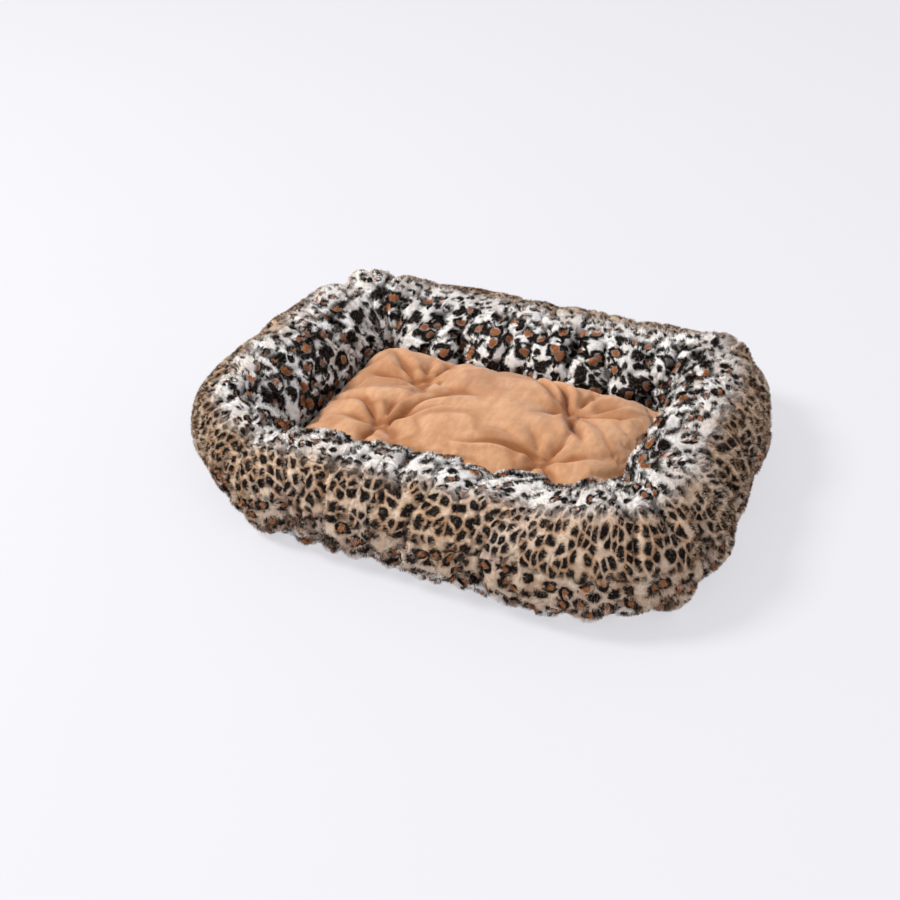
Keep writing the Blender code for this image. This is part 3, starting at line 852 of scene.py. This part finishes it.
def joined_grids(columns, rows):
    """Point numbers of an upper and a lower grid that share their rim, and the faces between them."""
    upper = np.arange(columns * rows).reshape(columns, rows)
    lower = upper.copy()
    lower[1:-1, 1:-1] = columns * rows + np.arange((columns - 2) * (rows - 2)).reshape(columns - 2, rows - 2)
    return upper, lower, np.concatenate([quads_of(upper), quads_of(lower, False)])


def scattered(upper, lower, upper_values, lower_values):
    """One row of values a point, from the values on both grids. The upper grid has the say on the rim."""
    values = np.zeros((max(upper.max(), lower.max()) + 1, upper_values.shape[-1]))
    values[lower], values[upper] = lower_values, upper_values
    return values


def swell_top(top, bottom):
    """Let the upper panel swell under its fill, held at the lower panel and at the tufts."""
    upper, lower, faces = joined_grids(P_STEPS, Q_STEPS)
    rest = scattered(upper, lower, top, bottom)
    near_tuft = np.min(np.linalg.norm(top[:, :, None, :2] - tufts, axis=-1), axis=2)
    pinned = np.unique(np.r_[lower.ravel(), upper[near_tuft < TUFT_FLAT]])
    moved = swell(rest, faces, pinned, growth=0.045, pressure=1.5, tension=10,
                  bending=0.08, frames=18) - rest
    size_moved = np.linalg.norm(moved, axis=-1, keepdims=True)
    return (rest + moved * eased(size_moved, MAX_SWELL) / np.maximum(size_moved, 1e-9))[upper]


def refined(top, bottom, full):
    """The panels inside the well's wall, joined at their rim, on a grid four times as fine."""
    limit = np.array([CUSHION_X, CUSHION_Y])
    top[..., :2] = np.clip(top[..., :2], -limit, limit)
    bottom[0], bottom[-1], bottom[:, 0], bottom[:, -1] = top[0], top[-1], top[:, 0], top[:, -1]
    full = full[..., None]
    for grid_axis in (0, 1):
        top, bottom, full = (doubled(values, grid_axis, False) for values in (top, bottom, full))
    return top, bottom, np.clip(full[..., 0], 0, 1)


def fold_top(top, full):
    """Press the folds and rumples into the upper panel. Returns how sunk the cloth is at each point, for
    painted shade in its folds, rumples and tuft dimples.
    """
    x, y = top[..., 0].copy(), top[..., 1].copy()
    dimple, folds = tuft_fields(x, y, 0.026)
    bent_x, bent_y = x + 0.02 * noise(x / 0.08, y / 0.08, 95), y + 0.02 * noise(x / 0.08, y / 0.08, 96)
    rumple = 1 - 2 * np.abs(noise(bent_x / 0.075 + bent_y / 0.11, bent_y / 0.045 - bent_x / 0.12, 97))
    fade = smoothstep(0.10, 0.65, full)
    top[..., 0] = np.where(x < 0, x * LEFT_STRETCH, x)
    peak = np.exp(-((top[..., 0] + CUSHION_X) ** 2 + (y - CUSHION_Y) ** 2) / 0.07 ** 2)
    top[..., 2] += fade * (1 - dimple ** 3) * (np.clip(folds, -0.020, 0.008)
                                               - 4 * MM * np.maximum(rumple - 0.5, 0))
    top[..., 2] += CORNER_PEAK * peak * smoothstep(0, 0.5, full)
    near_tuft = np.min(np.linalg.norm(top[:, :, None, :2] - tufts, axis=-1), axis=2)
    stitch_top = max(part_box(name)[1].z for name in threads) + 0.8 * MM
    top[..., 2] = np.maximum(top[..., 2], stitch_top - 60 * MM * smoothstep(0.006, 0.02, near_tuft))
    # Painted shade: deepest in the folds, less on the rumples, and in the tuft dimples
    return np.clip(smoothstep(0.0003, 0.0050, -folds) + 0.45 * smoothstep(0.35, 0.9, rumple)
                   + 0.6 * dimple ** 1.5, 0, 1) * fade


top_points, bottom_points, top_full = cushion_points()
top_points = swell_top(top_points, bottom_points)
top_points, bottom_points, top_full = refined(top_points, bottom_points, top_full)
sunk = fold_top(top_points, top_full)
upper, lower, cushion_faces = joined_grids(*top_full.shape)
cushion = scattered(upper, lower, top_points, bottom_points)
# The painted shade of the folds on the upper panel's points, none on the lower panel
fold_shade_values = scattered(upper, lower, np.repeat(sunk[..., None], 4, -1), np.zeros(sunk.shape + (4,)))
fold_shade_values[:, 3] = 1


def cloth_material(name, color, dark, nap, thread, sheen, hollow_shade=None):
    """Brushed woven cloth: fine threads, a mottled nap and rubbed streaks, and painted shade in folds, darker
    and more saturated.
    """
    g = Graph(name)
    place = g.node("ShaderNodeTexCoord").outputs["Object"]
    mottle, _ = g.noise(place, nap, 5.0, 0.65)
    streak, _ = g.noise(g.vector("MULTIPLY", place, (1.0, 0.35, 1.0)), nap * 4, 4.0, 0.6)
    tone = g.math("MULTIPLY_ADD", mottle, 0.55, g.math("MULTIPLY", streak, 0.45))
    tone = g.step(tone, 0.36, 0.66)
    fine, _ = g.noise(place, 1400.0, 2.0, 0.6)
    tone = g.math("MULTIPLY_ADD", g.math("SUBTRACT", fine, 0.5), 0.8, tone, clamp=True)
    color = g.mix(tone, dark, color)
    # Painted shade in the folds, from the fold attribute
    if hollow_shade:
        sunk = g.node("ShaderNodeSeparateColor", {"Color": g.attribute("fold").outputs["Color"]})
        color = g.mix(sunk.outputs[0], color, hollow_shade)
    across, along = (g.node("ShaderNodeTexWave", {"Vector": place, "Scale": thread, "Distortion": 0.6},
                            wave_type="BANDS", bands_direction=way).outputs[1] for way in "XY")
    weave = g.math("MULTIPLY", g.math("ADD", across, along), 0.5)
    height = g.math("MULTIPLY_ADD", fine, 0.8, weave)
    g.bump(height, 0.0003, 0.55)
    g.set(Base_Color=color, Roughness=0.9)
    g.set(Sheen_Weight=sheen, Sheen_Roughness=0.45, Specular_IOR_Level=0.15)
    return g.material


# The tan cloth's last colour is its painted shade in the folds
tan_cloth = cloth_material("tan_cloth", (0.68, 0.385, 0.215), (0.53, 0.265, 0.130), 26.0, 320.0, 0.25,
                           hollow_shade=(0.34, 0.135, 0.050))
base_cloth = cloth_material("base_cloth", (0.085, 0.068, 0.058), (0.055, 0.045, 0.040), 60.0, 260.0, 0.1)
elastic_cloth = cloth_material("elastic", (0.62, 0.60, 0.55), (0.50, 0.48, 0.44), 200.0, 700.0, 0.1)
thread_cloth = cloth_material("tuft_thread", (0.36, 0.19, 0.09), (0.24, 0.12, 0.05), 300.0, 900.0, 0.1)
fibre_cloth = cloth_material("fibre_fill", (0.84, 0.84, 0.82), (0.74, 0.74, 0.73), 120.0, 500.0, 0.2)

cushion_item = make_mesh("cushion", cushion, cushion_faces)
add_point_values(cushion_item, "fold", fold_shade_values)
dress(cushion_item, "cushion", tan_cloth)
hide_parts("cushion_top_cover", "cushion_bottom_cover", "cushion_fill")

for name in threads:
    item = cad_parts[name]
    item.data.materials.clear()
    item.data.materials.append(thread_cloth)


# --- the base: underside cloth, quilted pad, liner of the well, and the elastics ---

SHEET_STEPS = 181
BASE_INSET = HEM_INSET + MM      # hidden by the hem's pile
PAD_INSET = HEM_INSET + 4 * MM
QUILT = 0.045                   # between the rows of stitches of the pad
ELASTIC_RADIUS = 1.5 * MM
ELASTIC_RIB = 8 * MM            # between the cloth's gathers on an elastic


def slab_plan(inset):
    """Grid over the footprint: its plan, and each point's distance in from the edge."""
    p, q = np.meshgrid(*[np.linspace(-1, 1, SHEET_STEPS)] * 2, indexing="ij")
    share = np.maximum(np.maximum(np.abs(p), np.abs(q)), 1e-9)
    across = np.abs(p) >= np.abs(q)
    place = np.where(across, np.where(p > 0, 1 + q / share / 2, 3 - q / share / 2),
                     np.where(q > 0, 2 - p / share / 2, p / share / 2))
    edge = footprint(inset, place.ravel(), ring_length).reshape(SHEET_STEPS, SHEET_STEPS, 2)
    return edge * share[..., None], np.linalg.norm(edge, axis=-1) * (1 - share)


def add_slab(name, plan, low, high, material):
    """Closed solid between two height fields over a plan, joined by a rim."""
    upper = np.concatenate([plan, high[..., None]], -1).reshape(-1, 3)
    lower = np.concatenate([plan, low[..., None]], -1).reshape(-1, 3)
    ids = np.arange(len(upper)).reshape(plan.shape[:2])
    rim = np.r_[ids[:-1, 0], ids[-1, :-1], ids[:0:-1, -1], ids[0, :0:-1]]
    after = np.roll(rim, -1)
    faces = np.concatenate([quads_of(ids), quads_of(ids + len(upper), False),
                            np.stack([rim + len(upper), after + len(upper), after, rim], -1)])
    return dress(make_mesh(name, np.concatenate([upper, lower]), faces), "bed", material)


def add_loop(name, points, radius, rib, material):
    """Round elastic along a closed line, ribbed where the cloth is gathered on it."""
    run = np.linalg.norm(np.roll(points, -1, 0) - points, axis=1).cumsum()
    forward = unit(np.roll(points, -1, 0) - np.roll(points, 1, 0))
    side_way = unit(np.cross(forward, up))
    angle = np.linspace(0, 2 * math.pi, 11)[:-1]
    thick = radius * (0.88 + 0.12 * np.cos(run / rib * 2 * math.pi))
    rings = points[:, None] + thick[:, None, None] * (
        side_way[:, None] * np.cos(angle)[None, :, None] + up * np.sin(angle)[None, :, None])
    index = np.arange(rings.shape[0] * rings.shape[1]).reshape(rings.shape[:2])
    after, beside = np.roll(index, -1, 0), np.roll(index, -1, 1)
    faces = np.stack([index, after, np.roll(after, -1, 1), beside], -1).reshape(-1, 4)
    return dress(make_mesh(name, rings.reshape(-1, 3), faces), "bed", material)


cover_low, cover_high = (corner.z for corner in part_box("base_cover"))
pad_low, pad_high = (corner.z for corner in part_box("base_pad"))
liner_low, liner_high = (corner.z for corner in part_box("floor_liner"))

plan, edge = slab_plan(BASE_INSET)
x, y = plan[..., 0], plan[..., 1]
turn_up = 0.5 * MM * (1 - smoothstep(0.0, 0.004, np.abs(edge - 0.012)))
lift = 0.35 * MM * (1 + noise(x / 0.05, y / 0.05, 110)) * smoothstep(0, 0.03, edge) + turn_up
base_item = add_slab("base_cloth", plan, cover_low + lift, cover_high + 0 * lift, base_cloth)
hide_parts("base_cover")

plan, edge = slab_plan(PAD_INSET)
x, y = plan[..., 0], plan[..., 1]
rows_apart = np.minimum(np.abs((x + y) / QUILT % 1 - 0.5), np.abs((x - y) / QUILT % 1 - 0.5))
pillow = np.sqrt(smoothstep(0, 0.45, rows_apart)) * smoothstep(0, 0.02, edge)
sag = 0.5 * MM * noise(x / 0.06, y / 0.06, 111)
pad_item = add_slab("quilted_pad", plan, pad_low + 2.0 * MM * (1 - pillow),
                    pad_high - 0.6 * MM - 3.4 * MM * (1 - pillow) - np.abs(sag), fibre_cloth)
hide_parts("base_pad")

drop = 2.6 * MM * (1 - pillow) + np.abs(sag)
wrinkle = 0.5 * MM * (1 + noise(x / 0.03 + y / 0.08, y / 0.03, 112))
liner_item = add_slab("well_liner", plan, liner_low - drop - wrinkle, liner_high - drop - wrinkle,
                      base_cloth)
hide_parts("floor_liner")

loop_station = np.linspace(0, 4, 900, endpoint=False)
hem_box, well_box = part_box("hem_elastic"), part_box("well_elastic")
hem_line = footprint(HEM_INSET + 2.2 * MM, loop_station, ring_length)
hem_line = np.c_[hem_line, np.full(len(hem_line), (hem_box[0].z + hem_box[1].z) / 2)]
well_out = well_box[1].x - ELASTIC_RADIUS - WELL_X
well_line = outline(WELL_X + well_out, WELL_Y + well_out, WELL_CORNER + well_out, loop_station)
well_line = np.c_[well_line, np.full(len(well_line), (well_box[0].z + well_box[1].z) / 2)]
for name, line in (("hem_elastic", hem_line), ("well_elastic", well_line)):
    item = add_loop(name + "_cord", line, ELASTIC_RADIUS, ELASTIC_RIB, elastic_cloth)
    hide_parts(name)


# --- floor, light and camera ---

bpy.ops.mesh.primitive_plane_add(size=14, location=(0, 0, LOW[2] - 0.0002))
floor = bpy.context.object
floor.name = "floor"
g = Graph("floor")
grain, _ = g.noise(g.node("ShaderNodeTexCoord").outputs["Object"], 3.0)
g.set(Base_Color=g.mix(grain, (0.224, 0.224, 0.240), (0.230, 0.230, 0.246)), Roughness=0.75)
g.set(Emission_Color=(0.97, 0.965, 1.0, 1), Emission_Strength=0.60)
floor.data.materials.append(g.material)


def add_light(name, place, size, power, color):
    light = bpy.data.lights.new(name, "AREA")
    light.shape, light.size, light.energy, light.color = "DISK", size, power, color
    item = bpy.data.objects.new(name, light)
    bpy.context.scene.collection.objects.link(item)
    item.location = place
    item.rotation_euler = (Vector((0, 0, 0.05)) - Vector(place)).to_track_quat("-Z", "Y").to_euler()


add_light("key", (-3.15, -1.2, 3.75), 1.65, 216, (1.0, 0.985, 0.96))
add_light("fill", (1.8, -1.4, 2.4), 2.4, 14, (0.98, 0.985, 1.0))
world = bpy.data.worlds.new("studio")
bpy.context.scene.world = world
world.use_nodes = True
world.node_tree.nodes["Background"].inputs[0].default_value = (0.94, 0.94, 1.0, 1)
world.node_tree.nodes["Background"].inputs[1].default_value = 0.64

AZIMUTH, ELEVATION, DISTANCE = math.radians(23.5), math.radians(30.5), 2.0
back = Vector((math.sin(AZIMUTH) * math.cos(ELEVATION), -math.cos(AZIMUTH) * math.cos(ELEVATION),
               math.sin(ELEVATION)))
camera = bpy.data.objects.new("camera", bpy.data.cameras.new("camera"))
bpy.context.scene.collection.objects.link(camera)
camera.location = Vector((0, 0, 0.08)) + back * DISTANCE
camera.rotation_euler = back.to_track_quat("Z", "Y").to_euler()
camera.data.sensor_width = 36
camera.data.lens = 57.9
camera.data.shift_x, camera.data.shift_y = -0.0367, -0.05
bpy.context.scene.camera = camera
bpy.context.scene.view_settings.view_transform = "Standard"
